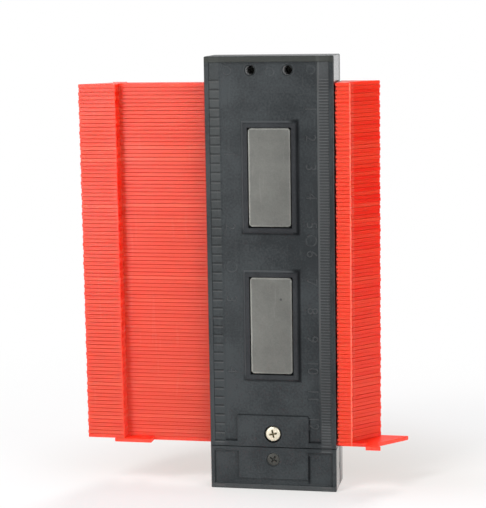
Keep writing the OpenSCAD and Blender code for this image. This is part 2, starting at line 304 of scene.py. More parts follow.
def bumped(tree, height, strength, distance):
    """A normal from a height."""
    node = place(tree, "ShaderNodeBump", None,
                 {"Height": height, "Strength": strength, "Distance": distance})
    return node.outputs[0]


def ruler_masks(tree, x, y, z, on_right):
    """The two ruler strips, their ruled part, the painted shade in its lines and between its ribs, and the
    painted highlights under the left lines.
    """
    strip = times(tree, band(tree, size_of(tree, x), STRIP_INNER_X, RIM_INNER_X, 0.15 * MM),
                  fade(tree, y, STRIP_Y + 0.2 * MM, STRIP_Y + 0.1 * MM))
    down = less(tree, RULER_TOP_Z, z)
    ruled = times(tree, strip, fade(tree, down, -0.3 * MM, -0.2 * MM))
    from_rib = maths(tree, "PINGPONG", down, MM / 2)
    gaps = times(tree, on_right, fade(tree, from_rib, 0.15 * MM, 0.33 * MM))
    from_line = maths(tree, "PINGPONG", down, EIGHTH_INCH / 2)
    lines = times(tree, outside(tree, on_right), fade(tree, from_line, 0.26 * MM, 0.14 * MM))
    painted_tick_shade = times(tree, ruled, either(tree, gaps, lines))
    under_line = maths(tree, "PINGPONG", less(tree, down, 0.52 * MM), EIGHTH_INCH / 2)
    painted_line_light = times(tree, less(tree, ruled, on_right), fade(tree, under_line, 0.28 * MM, 0.14 * MM))
    return strip, ruled, painted_tick_shade, painted_line_light


def frame_masks(tree, x, y, z, on_rear):
    """The frames' dull tops, painted light on their left and upper slopes, and a painted shadow at their
    right and lower feet.
    """
    level = magnet_level(tree, z)
    out_of_frame = either(tree, less(tree, size_of(tree, x), FRAME_HALF_X),
                          less(tree, size_of(tree, level), FRAME_HALF_Z))
    lowest = MAGNET_Z - FRAME_REACH_Z
    highest = MAGNET_Z + MAGNET_SPACING + FRAME_REACH_Z
    near_frames = times(tree, on_rear, band(tree, z, lowest, highest, 0.5 * MM))
    top = fade(tree, y, REAR_Y - 0.05 * MM, REAR_Y - 0.15 * MM)
    shady_side = either(tree, fade(tree, x, 6.0 * MM, 9.4 * MM),
                        fade(tree, level, -17.0 * MM, -19.0 * MM, 0.0, 0.5))
    slope = times(tree, near_frames, band(tree, out_of_frame, -0.60 * MM, -0.1 * MM, 0.15 * MM))
    slope_painted_light = times(tree, slope, outside(tree, shady_side))
    foot = times(tree, near_frames, band(tree, out_of_frame, -0.55 * MM, 0.45 * MM, 0.45 * MM))
    return top, slope_painted_light, times(tree, foot, shady_side)


def corner_dirt(tree, x, y, z, on_rear):
    """Painted shade above the plate, right of it and of the block below the seam, and at the foot of the
    field.
    """
    sunk = times(tree, on_rear, fade(tree, y, FIELD_Y - 0.35 * MM, FIELD_Y - 0.2 * MM))
    beside = times(tree, band(tree, x, PLATE_CORNER_X, PLATE_CORNER_X + 0.8 * MM, 0.4 * MM),
                   either(tree, band(tree, z, END_FIELD_LOW_Z, END_FIELD_HIGH_Z, 0.4 * MM),
                          band(tree, z, FIELD_LOW_Z, PLATE_CORNER_Z, 0.4 * MM)))
    over_plate = fade(tree, size_of(tree, x), PLATE_CORNER_X + 0.5 * MM, PLATE_CORNER_X - 0.1 * MM, 0.0, 0.95)
    above = times(tree, over_plate, band(tree, z, PLATE_CORNER_Z, PLATE_CORNER_Z + 0.6 * MM, 0.3 * MM))
    foot = band(tree, z, UNDER_SEAM_Z, FIELD_LOW_Z + 0.5 * MM, 0.6 * MM)
    return times(tree, sunk, either(tree, foot, either(tree, beside, above)))


def body_tone(tree, x, z, patches):
    """How light the plain plastic is: patchy, with painted light that makes it lighter to the left and low
    down and darker half way up.
    """
    tone = plus(tree, fade(tree, patches, 0.32, 0.68), fade(tree, x, -20.0 * MM, 20.0 * MM, 0.20, -0.20))
    half_way = band(tree, z, 75.0 * MM, 100.0 * MM, 15.0 * MM)
    tone = less(tree, tone, times(tree, half_way, 0.25))
    return plus(tree, tone, fade(tree, z, 55.0 * MM, 35.0 * MM, 0.0, 0.15))


def strip_paleness(tree, z, on_right, strip, ruled):
    """How pale the ruler strips are: paler higher up through a painted light, and less pale above the ruler.
    """
    left_share = fade(tree, z, 50.0 * MM, 140.0 * MM, 0.08, 0.62)
    right_share = fade(tree, z, 40.0 * MM, 145.0 * MM, 0.40, 0.56)
    share = place(tree, "ShaderNodeMix", {"data_type": "FLOAT"},
                  {0: on_right, 2: left_share, 3: right_share}).outputs[0]
    plain = less(tree, strip, ruled)
    return less(tree, times(tree, strip, share), times(tree, plain, 0.30))


def side_gloss(tree, across, y, z):
    """The body's sides, and their gloss, which the parting lines and the lip above the teeth lack."""
    side = fade(tree, across, HALF_WIDTH - 0.35 * MM, HALF_WIDTH - 0.05 * MM)
    on_lip = times(tree, fade(tree, y, LIP_Y - 0.2 * MM, LIP_Y + 0.2 * MM, 0.0, 0.9),
                   fade(tree, z, ABOVE_TEETH_Z, ABOVE_TEETH_Z + 1.0 * MM))
    parting = times(tree, band(tree, y, END_SEAM_Y - 0.5 * MM, END_SEAM_Y + 0.5 * MM, 0.3 * MM),
                    fade(tree, z, UNDER_SEAM_Z + 1.0 * MM, UNDER_SEAM_Z))
    dull = either(tree, on_lip, parting)
    return side, times(tree, side, times(tree, outside(tree, dull), 0.7))


def make_body_plastic(name, shine, painted_paleness):
    """Dark grey moulded plastic with grain, ruled strips, painted light and shade on its relief and in its
    corners, and glossy sides.

    Shine is how much light its faces mirror; the paleness given is how far it is painted paler, a painted
    light on raised marks.
    """
    finish, tree, shader = new_finish(name)
    x, y, z = own_place(tree)
    skin = use_group(tree, grain, fineness=1300.0, patch_size=0.012)
    marks = use_group(tree, handling, density=900.0)
    across = size_of(tree, x)
    on_right = fade(tree, x, -1.0 * MM, 1.0 * MM)
    on_rear = fade(tree, y, FIELD_Y + 1.0 * MM, FIELD_Y + 0.6 * MM)
    strip, ruled, painted_tick_shade, painted_line_light = ruler_masks(tree, x, y, z, on_right)
    # the frames' feet get a painted shadow on their right and lower sides
    frame_top, painted_slope_light, frame_painted_shadow = frame_masks(tree, x, y, z, on_rear)
    # painted shade: the frames' painted shadow and the shaded corners together
    painted_shade = either(tree, frame_painted_shadow, corner_dirt(tree, x, y, z, on_rear))
    side, gloss = side_gloss(tree, across, y, z)

    # a painted highlight on the slope beside the right strip, the bars at the top and the bottom, and painted
    # light on the walls of the wells
    slope = times(tree, band(tree, x, STRIP_INNER_X - 0.9 * MM, STRIP_INNER_X + 0.1 * MM, 0.2 * MM),
                  fade(tree, y, FIELD_Y, FIELD_Y - 0.1 * MM))
    painted_slope_glint = times(tree, slope, fade(tree, z, 22.0 * MM, 60.0 * MM))
    face = fade(tree, y, REAR_Y + 0.25 * MM, REAR_Y + 0.05 * MM)
    top_bar = times(tree, face, fade(tree, z, TOP_BAR_Z, TOP_BAR_Z + 0.5 * MM))
    low_border = times(tree, face, fade(tree, z, LOW_BORDER_Z, LOW_BORDER_Z - 0.3 * MM))
    from_well = square_from(tree, across, z, WELL_X, WELL_Z)
    painted_well_light = times(tree, fade(tree, from_well, 5.2 * MM * MM, 4.6 * MM * MM),
                 band(tree, y, FIELD_Y + 0.5 * MM, 5.0 * MM, 0.3 * MM))

    # patchy tone with painted light: lighter to the left and low down, darker half way up
    tone = body_tone(tree, x, z, skin["Tone"])
    colour = mixed(tree, tone, (0.016, 0.019, 0.021, 1), (0.040, 0.046, 0.049, 1))
    strip_colour = mixed(tree, on_right, (0.068, 0.072, 0.071, 1), (0.105, 0.110, 0.112, 1))
    colour = mixed(tree, strip_paleness(tree, z, on_right, strip, ruled), colour, strip_colour)
    # painted highlight on the slope beside the right strip
    colour = tinted(tree, colour, painted_slope_glint, 0.6, (0.095, 0.100, 0.100, 1))
    # painted shade in the tick lines and between the ribs, and painted highlights under the left lines
    colour = tinted(tree, colour, painted_tick_shade, 0.58, (0.010, 0.011, 0.012, 1))
    colour = tinted(tree, colour, painted_line_light, 0.5, (0.090, 0.094, 0.094, 1))
    # painted light: raised marks painted paler
    colour = mixed(tree, painted_paleness, colour, (0.080, 0.084, 0.086, 1))
    colour = tinted(tree, colour, top_bar, 0.6, (0.036, 0.038, 0.031, 1))
    colour = tinted(tree, colour, low_border, 0.35, (0.090, 0.092, 0.092, 1))
    colour = tinted(tree, colour, frame_top, 0.45, (0.014, 0.013, 0.016, 1))
    # painted light on the frames' left and upper slopes
    colour = tinted(tree, colour, painted_slope_light, 0.9, (0.072, 0.076, 0.080, 1))
    # painted light on the walls of the wells
    colour = tinted(tree, colour, painted_well_light, 0.8, (0.30, 0.30, 0.30, 1))
    # painted shadow and shade, near black, at the frames' feet and in the corners
    colour = tinted(tree, colour, painted_shade, 0.75, (0.004, 0.004, 0.005, 1))
    colour = tinted(tree, colour, marks["Scratches"], 0.05, (0.13, 0.13, 0.13, 1))

    rough = fade(tree, skin["Tone"], 0.3, 0.7, 0.42, 0.52)
    rough = less(tree, rough, times(tree, marks["Smears"], 0.05))
    rough = less(tree, rough, times(tree, side, 0.24))
    rough = plus(tree, rough, times(tree, painted_shade, 0.3))
    give(tree, shader, base_color=colour, roughness=rough,
         specular_ior_level=less(tree, shine, times(tree, painted_shade, 0.10)),
         coat_weight=gloss, coat_roughness=0.12, coat_ior=1.6,
         normal=bumped(tree, skin["Height"], 0.9, 0.10 * MM))
    return finish


def make_tooth_plastic():
    """Red satin plastic that lets light in; each tooth has its own shade, a painted glow on its slanted end
    and rims, painted light and shade on its lugs, and a painted light towards the foot of the stack.
    """
    finish, tree, shader = new_finish("tooth plastic")
    x, y, z = own_place(tree)
    skin = use_group(tree, grain, fineness=1500.0, patch_size=0.020)
    marks = use_group(tree, handling, density=700.0)

    # which tooth, how far from its middle along the tooth, and how far from its middle height
    count = maths(tree, "DIVIDE", less(tree, z, STACK_BOTTOM), TOOTH_PITCH)
    own_tone = place(tree, "ShaderNodeTexWhiteNoise", {"noise_dimensions": "1D"},
                     {"W": maths(tree, "FLOOR", count)}).outputs[0]
    reach = less(tree, x, TOOTH_MIDDLE)
    half_share = TOOTH_THICKNESS / TOOTH_PITCH / 2
    off_middle = size_of(tree, less(tree, maths(tree, "FRACT", count), half_share))

    # a painted glow on the slanted end and on the step of the left head on all but the lowest tooth; the
    # right lug, painted deeper red as painted shade, and a painted highlight on its corner
    deep = either(tree, fade(tree, reach, LUG_END, LUG_END + 0.6 * MM),
                  band(tree, reach, -NECK_HALF - 0.3 * MM, -NECK_HALF + 0.1 * MM, 0.15 * MM))
    deep = times(tree, deep, fade(tree, count, 0.97, 1.0))
    right_lug = band(tree, reach, NECK_HALF - 0.3 * MM, LUG_END, 0.2 * MM)
    corner = times(tree, band(tree, reach, LUG_END - 0.25 * MM, LUG_END + 0.15 * MM, 0.15 * MM),
                   fade(tree, y, -5.0 * MM, -7.0 * MM))
    # painted glow: the rims of each tooth a brighter, deeper red, so the lines between the teeth show red
    rim = fade(tree, off_middle, 0.36, 0.44)
    # painted shadow between the ends of the right lugs, beside the body
    painted_shade = times(tree, band(tree, reach, NECK_HALF - 0.3 * MM, NECK_HALF + 0.5 * MM, 0.3 * MM),
                 fade(tree, off_middle, 0.22, 0.36))
    odd_tooth = fade(tree, own_tone, 0.86, 0.90)

    colour = mixed(tree, own_tone, (0.86, 0.046, 0.019, 1), (0.92, 0.058, 0.025, 1))
    colour = tinted(tree, colour, odd_tooth, 0.18, (1.0, 0.16, 0.10, 1))
    colour = tinted(tree, colour, skin["Tone"], 0.12, (0.98, 0.10, 0.060, 1))
    # painted light: paler towards the foot of the stack
    colour = tinted(tree, colour, fade(tree, z, 115.0 * MM, 20.0 * MM), 0.20, (1.0, 0.12, 0.085, 1))
    colour = tinted(tree, colour, marks["Scratches"], 0.05, (1.0, 0.33, 0.26, 1))
    # painted shade: the right lug a deeper red, without the sheen the left teeth get
    colour = tinted(tree, colour, right_lug, 0.7, (0.92, 0.032, 0.005, 1))
    # painted glow: the slanted end and the step a brighter, deeper red, paler towards the foot of the stack
    # as painted light
    slant = mixed(tree, own_tone, (0.97, 0.006, 0.001, 1), (1.0, 0.042, 0.016, 1))
    slant = tinted(tree, slant, fade(tree, z, 110.0 * MM, 25.0 * MM), 0.45, (1.0, 0.110, 0.075, 1))
    colour = tinted(tree, colour, deep, 0.85, slant)
    # painted glow on the rims
    colour = tinted(tree, colour, rim, 0.6, (1.0, 0.036, 0.013, 1))
    # painted highlight on the right lug's outer corner
    colour = tinted(tree, colour, corner, 0.6, (1.0, 0.22, 0.15, 1))
    colour = tinted(tree, colour, painted_shade, 0.9, (0.10, 0.003, 0.002, 1))

    rough = plus(tree, fade(tree, skin["Tone"], 0.3, 0.7, 0.33, 0.40), times(tree, marks["Smears"], 0.05))
    give(tree, shader, base_color=colour, roughness=rough,
         specular_ior_level=fade(tree, either(tree, deep, rim), 0.0, 1.0, 0.34, 0.10),
         subsurface_weight=0.7, subsurface_radius=(1.0, 0.12, 0.05), subsurface_scale=4.0 * MM,
         normal=bumped(tree, skin["Height"], 0.12, 0.05 * MM))
    return finish


def make_magnet_ferrite():
    """Grey sintered ferrite: patches, painted light that is lighter to the left, ragged edges with a painted
    highlight on the left and at the top, and one pit painted dark as its shade.
    """
    finish, tree, shader = new_finish("magnet ferrite")
    x, _, z = own_place(tree)
    skin = use_group(tree, grain, fineness=1900.0, patch_size=0.006)
    marks = use_group(tree, handling, density=1200.0)
    level = magnet_level(tree, z)
    to_edge = maths(tree, "MINIMUM", less(tree, MAGNET_HALF_X, size_of(tree, x)),
                    less(tree, MAGNET_HALF_Z, size_of(tree, level)))
    ragged = less(tree, to_edge, times(tree, skin["Tone"], 0.8 * MM))
    # painted highlight: the ragged edges painted pale on the left and at the top only
    painted_highlight_side = either(tree, fade(tree, x, -3.0 * MM, -6.6 * MM, 0.25, 1.0),
                       fade(tree, level, 14.0 * MM, 16.5 * MM, 0.1, 0.6))
    edge = times(tree, painted_highlight_side, fade(tree, ragged, 0.35 * MM, -0.15 * MM))
    # a pit, dented by the bump and painted dark as painted shade
    pit = fade(tree, square_from(tree, x, z, PIT_X, PIT_Z), 0.25 * MM * MM, 0.10 * MM * MM)
    # patches, with painted light: lighter to the left
    tone = plus(tree, skin["Tone"], fade(tree, x, -7.0 * MM, 7.0 * MM, 0.10, -0.10))
    colour = mixed(tree, tone, (0.060, 0.061, 0.056, 1), (0.158, 0.159, 0.145, 1))
    colour = tinted(tree, colour, edge, 0.65, (0.30, 0.30, 0.275, 1))
    colour = tinted(tree, colour, marks["Scratches"], 0.08, (0.30, 0.30, 0.28, 1))
    colour = tinted(tree, colour, pit, 0.8, (0.03, 0.03, 0.03, 1))
    give(tree, shader, base_color=colour, roughness=fade(tree, skin["Tone"], 0.2, 0.8, 0.62, 0.5),
         specular_ior_level=0.35, normal=bumped(tree, less(tree, skin["Height"], pit), 0.4, 0.10 * MM))
    return finish


def make_metal(name, dark, light, rough, metallic):
    """Turned or rolled metal with fine marks, darker and browner where the cross of the tension screw is."""
    finish, tree, shader = new_finish(name)
    x, y, z = own_place(tree)
    skin = use_group(tree, grain, fineness=2200.0, patch_size=0.003)
    marks = use_group(tree, handling, density=1500.0)
    from_axis = square_from(tree, x, z, 0.0, SCREW_Z)
    cross = times(tree, fade(tree, from_axis, 3.6 * MM * MM, 3.0 * MM * MM),
                  fade(tree, y, screw_low.y + 0.02 * MM, screw_low.y + 0.25 * MM))
    colour = mixed(tree, skin["Tone"], dark, light)
    colour = tinted(tree, colour, marks["Scratches"], 0.3, light)
    colour = tinted(tree, colour, cross, 0.9, (0.110, 0.088, 0.032, 1))
    give(tree, shader, base_color=colour, metallic=metallic,
         roughness=plus(tree, fade(tree, skin["Tone"], 0.3, 0.7, rough, rough + 0.12),
                        times(tree, marks["Smears"], 0.06)),
         normal=bumped(tree, skin["Height"], 0.15, 0.03 * MM))
    return finish


def make_liner():
    """Matt dark felted strip."""
    finish, tree, shader = new_finish("friction liner")
    skin = use_group(tree, grain, fineness=3000.0, patch_size=0.004)
    colour = mixed(tree, skin["Tone"], (0.020, 0.020, 0.021, 1), (0.045, 0.045, 0.046, 1))
    give(tree, shader, base_color=colour, roughness=fade(tree, skin["Tone"], 0.2, 0.8, 0.80, 0.95),
         normal=bumped(tree, skin["Height"], 0.6, 0.15 * MM))
    return finish


# the copies for the mould rings and the numbers are painted paler, a painted light on these raised marks
body_plastic = make_body_plastic("body plastic", shine=0.17, painted_paleness=0.0)
shiny_plastic = make_body_plastic("shiny body plastic", shine=0.24, painted_paleness=0.08)
painted_pale_plastic = make_body_plastic("painted pale body plastic", shine=0.28, painted_paleness=0.26)
tooth_plastic = make_tooth_plastic()
magnet_ferrite = make_magnet_ferrite()
pale_brass = make_metal("pale brass", (0.60, 0.54, 0.40, 1), (0.82, 0.77, 0.63, 1),
                        rough=0.30, metallic=0.55)
spring_steel = make_metal("spring steel", (0.30, 0.31, 0.32, 1), (0.52, 0.53, 0.54, 1),
                          rough=0.30, metallic=1.0)
black_screw = make_metal("black screw", (0.030, 0.030, 0.028, 1), (0.085, 0.085, 0.075, 1),
                         rough=0.38, metallic=0.6)
friction_liner = make_liner()


# Making pieces

def add_piece(bm, name, body, finish, node=None, sharp_angle=None):
    """Turns a bmesh into a piece that rides on a body and may stand for a CAD node."""
    mesh = bpy.data.meshes.new(name)
    bm.to_mesh(mesh)
    bm.free()
    mesh.materials.append(finish)
    mesh.shade_smooth()
    if sharp_angle is not None:
        mesh.set_sharp_from_angle(angle=math.radians(sharp_angle))
    piece = bpy.data.objects.new(name, mesh)
    bpy.context.scene.collection.objects.link(piece)
    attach(piece, body)
    if node:
        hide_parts(node)
    return piece


def merged_copy(node):
    """A copy of a CAD node's mesh with its triangles merged into its flat faces."""
    bm = bmesh.new()
    bm.from_mesh(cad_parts[node].data)
    bmesh.ops.remove_doubles(bm, verts=bm.verts, dist=SAME_POINT)
    bmesh.ops.dissolve_limit(bm, angle_limit=math.radians(0.5), verts=bm.verts, edges=bm.edges,
                             delimit={"NORMAL"})
    return bm


def weigh_edges(bm, width_of, widest):
    """Gives each sharp edge the share of the widest rounding that width_of asks for."""
    layer = bm.edges.layers.float.new("bevel_weight_edge")
    for edge in bm.edges:
        if len(edge.link_faces) == 2 and edge.calc_face_angle(0.0) > math.radians(40):
            edge[layer] = min(1.0, width_of(edge) / widest)


def round_edges(piece, widest, segments):
    """Rounds the weighed edges of a piece."""
    rounding = piece.modifiers.new("rounded edges", "BEVEL")
    rounding.limit_method = "WEIGHT"
    rounding.width = widest
    rounding.segments = segments
    rounding.profile = 0.5
    rounding.use_clamp_overlap = False


def swell_teeth(bm):
    """Makes each tooth a hair thicker, so that less of the dark between the teeth shows."""
    rounding_slack = 0.02
    for vert in bm.verts:
        count = (vert.co.z - STACK_BOTTOM) / TOOTH_PITCH + rounding_slack
        upper = count - math.floor(count) > 0.5
        vert.co.z += TOOTH_SWELL if upper else -TOOTH_SWELL


def moulded(node, body, slot, finish, width_of, widest, segments=2):
    """A softened copy of a CAD node, which stands for it."""
    bm = merged_copy(node)
    if slot == "tooth_plastic":
        swell_teeth(bm)
    weigh_edges(bm, width_of, widest)
    piece = add_piece(bm, "soft_" + node, body, finish, node)
    round_edges(piece, widest, segments)
    return piece


def keep_flat_faces(pieces):
    """Makes rounded pieces plain meshes: flat faces are shaded flat, and only curved ones smooth."""
    bpy.context.view_layer.update()
    graph = bpy.context.evaluated_depsgraph_get()
    shapes = [bpy.data.meshes.new_from_object(piece.evaluated_get(graph)) for piece in pieces]
    for piece, shape in zip(pieces, shapes):
        shape.shade_smooth()
        shape.set_sharp_from_angle(angle=math.radians(12))
        piece.modifiers.clear()
        piece.data = shape


# Body

BODY_EDGE = 0.18 * MM
INNER_EDGE = 0.15 * MM
STRIP_EDGE = 0.08 * MM
MAGNET_EDGE = 0.3 * MM
SHORTEST_ROUNDED_EDGE = 0.9 * MM
CORNER_SIZE = 0.6 * MM


def body_edge(edge):
    """Rounding of a moulded edge: wide on the outer edges, fine on the strips, none on very short edges."""
    first, second = (vert.co for vert in edge.verts)
    middle = (first + second) / 2
    across = abs(middle.x)
    from_corner = max(abs(across - PLATE_CORNER_X), abs(middle.z - PLATE_CORNER_Z))
    if edge.calc_length() < SHORTEST_ROUNDED_EDGE and from_corner >= CORNER_SIZE:
        return 0.0
    if middle.y > FIELD_Y + 0.1 * MM:
        return INNER_EDGE
    if across > STRIP_INNER_X - 0.1 * MM and middle.y > STRIP_Y - 0.1 * MM:
        return STRIP_EDGE
    return BODY_EDGE


def magnet_edge(edge):
    """Rounding of a magnet's edge, the same on all of them."""
    return MAGNET_EDGE


mouldings = [moulded(node, "body", "body_plastic", body_plastic, body_edge, BODY_EDGE)
             for node in ("rear_cover", "front_housing", "end_cover")]
mouldings += [moulded(node, "body", "magnet", magnet_ferrite, magnet_edge, MAGNET_EDGE, 3)
              for node in ("magnet_upper", "magnet_lower")]


# Teeth

TIP_EDGE = 0.30 * MM
UPRIGHT_EDGE = 0.15 * MM
SLANT_EDGE = 0.08 * MM
HEAD_EDGE = 0.06 * MM
NECK_EDGE = 0.04 * MM


def tooth_edge_rule(middle_x):
    """Rounding of a tooth's edges: wide across the tips and on upright edges, thin along the others."""
    def width_of(edge):
        first, second = (vert.co for vert in edge.verts)
        run = second - first
        reach = abs((first.x + second.x) / 2 - middle_x)
        if abs(run.z) > 0.5 * MM:
            return UPRIGHT_EDGE
        if reach > LUG_END + 1.0 * MM and abs(run.y) > 0.4 * MM:
            return TIP_EDGE if abs(run.x) < 1.0 * MM else SLANT_EDGE
        if reach > NECK_HALF - 1.0 * MM:
            return HEAD_EDGE
        return NECK_EDGE
    return width_of


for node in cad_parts:
    if node.startswith("tooth_") or node.startswith("teeth_"):
        low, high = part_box(node)
        rule = tooth_edge_rule((low.x + high.x) / 2)
        mouldings.append(moulded(node, node, "tooth_plastic", tooth_plastic, rule, TIP_EDGE))
keep_flat_faces(mouldings)


# Rulers

def add_bar(bm, low, high):
    """A raised bar between two corners, its top towards the magnet side and narrower than its foot."""
    start = len(bm.verts)
    bmesh.ops.create_cube(bm, size=1.0)
    bm.verts.ensure_lookup_table()
    corners = bm.verts[start:]
    middle = (low + high) / 2
    bmesh.ops.scale(bm, vec=high - low, verts=corners)
    bmesh.ops.translate(bm, vec=middle, verts=corners)
    top = [vert for vert in corners if vert.co.y < middle.y]
    bmesh.ops.scale(bm, vec=(1.0, 1.0, 0.75), space=Matrix.Translation(-middle), verts=top)


def add_ruler(name, inner_x, outer_x, step, count, width):
    """Raised ticks across one ruler strip, from the top down."""
    bm = bmesh.new()
    for tick in range(count):
        z = RULER_TOP_Z - tick * step
        low = Vector((min(inner_x, outer_x), STRIP_Y - TICK_HEIGHT, z - width / 2))
        high = Vector((max(inner_x, outer_x), STRIP_Y + 0.05 * MM, z + width / 2))
        add_bar(bm, low, high)
    add_piece(bm, name, "body", body_plastic, sharp_angle=20)


add_ruler("inch_ticks", -STRIP_INNER_X - 0.1 * MM, -RIM_INNER_X + 0.1 * MM,
          step=EIGHTH_INCH, count=38, width=0.34 * MM)
add_ruler("millimetre_ticks", STRIP_INNER_X + 0.1 * MM, RIM_INNER_X - 0.3 * MM,
          step=MM, count=121, width=0.46 * MM)


def add_number(bm, digits, x, z):
    """A raised number that reads downwards, its lower line at x and its middle at z."""
    letters = bpy.data.curves.new("number", "FONT")
    letters.body = digits
    letters.align_x = "CENTER"
    letters.size = NUMBER_SIZE
    letters.extrude = 0.10 * MM
    letters.bevel_depth = 0.16 * MM
    letters.bevel_resolution = 0
    letters.offset = -0.15 * MM
    letters.resolution_u = 3
    holder = bpy.data.objects.new("number", letters)
    bpy.context.scene.collection.objects.link(holder)
    bpy.context.view_layer.update()
    raised = bpy.data.meshes.new_from_object(holder.evaluated_get(bpy.context.evaluated_depsgraph_get()))
    bpy.data.objects.remove(holder)
    bpy.data.curves.remove(letters)
    raised.transform(Matrix(((0, 1, 0, x), (0, 0, -1, FIELD_Y - 0.01 * MM), (-1, 0, 0, z), (0, 0, 0, 1))))
    bm.from_mesh(raised)
    bpy.data.meshes.remove(raised)


numbers = bmesh.new()
for inch in range(1, 5):
    add_number(numbers, str(inch), INCH_NUMBER_X, RULER_TOP_Z - inch * INCH)
for centimetre in range(1, 13):
    add_number(numbers, str(centimetre), CENTIMETRE_NUMBER_X, RULER_TOP_Z - centimetre * CENTIMETRE)
bmesh.ops.remove_doubles(numbers, verts=numbers.verts, dist=SAME_NUMBER_POINT)
add_piece(numbers, "ruler_numbers", "body", painted_pale_plastic, sharp_angle=30)


# Round marks that the mould leaves on the field

# In millimetres: the outline of each lip, out from its middle and up from the field, and its places, x and z
SMALL_MARK = ((1.75, -0.02), (1.62, 0.14), (1.5, 0.16), (1.1, -0.02))
SMALL_MARK_PLACES = ((-14.56, 147.7), (0.43, 147.2), (14.53, 147.8))
WIDE_MARK = ((2.2, -0.02), (2.05, 0.16), (1.9, 0.18), (1.5, -0.02))
WIDE_MARK_PLACES = ((14.2, 89.1), (-13.9, 79.6))
WELL_COLLAR = ((2.45, -0.02), (2.3, 0.15), (2.1, 0.15), (2.0, -0.02))


def add_ring(bm, x, z, outline):
    """A low round lip on the field."""
    lip = [bm.verts.new((x + out * MM, FIELD_Y - up * MM, z)) for out, up in outline]
    edges = [bm.edges.new(pair) for pair in zip(lip, lip[1:])]
    bmesh.ops.spin(bm, geom=lip + edges, cent=(x, FIELD_Y, z), axis=(0, 1, 0), angle=2 * math.pi,
                   steps=40, use_merge=True)


rings = bmesh.new()
for x, z in SMALL_MARK_PLACES:
    add_ring(rings, x * MM, z * MM, SMALL_MARK)
for x, z in WIDE_MARK_PLACES:
    add_ring(rings, x * MM, z * MM, WIDE_MARK)
for side in (-1, 1):
    add_ring(rings, side * WELL_X, WELL_Z, WELL_COLLAR)
bmesh.ops.remove_doubles(rings, verts=rings.verts, dist=SAME_POINT)
bmesh.ops.recalc_face_normals(rings, faces=rings.faces)
add_piece(rings, "mould_rings", "body", shiny_plastic)


# Screws

def only(kind, geometry):
    """The vertices or the edges among the results of an operator."""
    return [item for item in geometry if isinstance(item, kind)]


def add_cross_screw(bm, head_radius, arm, width, recess, profile):
    """A screw with a cross recess, its head up at height 0 and its shank down.

    Arm is the reach of the cross, width half the width of its arms, and profile the outline below the head's
    top, as radius and height.
    """
    start = len(bm.verts)
    rim = bmesh.ops.create_circle(bm, segments=40, radius=head_radius)["verts"]
    rim_edges = list(dict.fromkeys(edge for vert in rim for edge in vert.link_edges))
    cross = []
    for turn in range(4):
        for x, y in ((width, arm), (width, width), (arm, width)):
            cross.append(bm.verts.new(Matrix.Rotation(-turn * math.pi / 2, 3, "Z") @ Vector((x, y, 0))))
    cross_edges = [bm.edges.new(pair) for pair in zip(cross, cross[1:] + cross[:1])]
    bmesh.ops.triangle_fill(bm, edges=rim_edges + cross_edges, use_beauty=True)
    wall = bmesh.ops.extrude_edge_only(bm, edges=cross_edges)["geom"]
    floor = only(bmesh.types.BMVert, wall)
    bmesh.ops.translate(bm, vec=(0, 0, -recess), verts=floor)
    bmesh.ops.scale(bm, vec=(0.55, 0.55, 1.0), verts=floor)
    bmesh.ops.contextual_create(bm, geom=only(bmesh.types.BMEdge, wall))
    loop = rim_edges
    radius = head_radius
    height = 0.0
    for next_radius, next_height in profile:
        skirt = bmesh.ops.extrude_edge_only(bm, edges=loop)["geom"]
        ring = only(bmesh.types.BMVert, skirt)
        loop = only(bmesh.types.BMEdge, skirt)
        share = next_radius / radius
        bmesh.ops.translate(bm, vec=(0, 0, next_height - height), verts=ring)
        bmesh.ops.scale(bm, vec=(share, share, 1.0), verts=ring)
        radius = next_radius
        height = next_height
    bmesh.ops.contextual_create(bm, geom=loop)
    bm.verts.ensure_lookup_table()
    return bm.verts[start:]


def stand(bm, verts, x, y, z, turn):
    """Turns a screw's head towards the magnet side and puts its top at a place."""
    facing = Matrix(((1, 0, 0, x), (0, 0, -1, y), (0, 1, 0, z), (0, 0, 0, 1)))
    bmesh.ops.transform(bm, matrix=facing @ Matrix.Rotation(turn, 4, "Z"), verts=verts)


def finish_screw(bm, name, body, finish, node):
    """Turns a screw's faces outwards and makes it a piece."""
    bmesh.ops.recalc_face_normals(bm, faces=bm.faces)
    add_piece(bm, name, body, finish, node, sharp_angle=40)


tension = bmesh.new()
tension_length = screw_high.y - screw_low.y
tension_verts = add_cross_screw(
    tension, head_radius=2.15 * MM, arm=1.5 * MM, width=0.34 * MM, recess=0.75 * MM,
    profile=((2.46 * MM, -0.10 * MM), (2.62 * MM, -0.35 * MM), (2.62 * MM, -1.3 * MM), (1.5 * MM, -1.3 * MM),
             (1.5 * MM, 0.25 * MM - tension_length), (1.25 * MM, -tension_length)))
stand(tension, tension_verts, 0.0, screw_low.y, SCREW_Z, math.radians(12))
finish_screw(tension, "tension_screw_head", "tension_screw", pale_brass, "tension_screw")

end_screw = bmesh.new()
end_length = end_screw_high.y - end_screw_low.y
end_verts = add_cross_screw(
    end_screw, head_radius=2.12 * MM, arm=1.4 * MM, width=0.28 * MM, recess=0.7 * MM,
    profile=((2.3 * MM, -0.06 * MM), (1.3 * MM, -1.0 * MM),
             (1.3 * MM, 0.3 * MM - end_length), (1.0 * MM, -end_length)))
stand(end_screw, end_verts, 0.0, end_screw_low.y, END_SCREW_Z, math.radians(-30))
finish_screw(end_screw, "end_screw_head", "body", black_screw, "end_cover_screw")

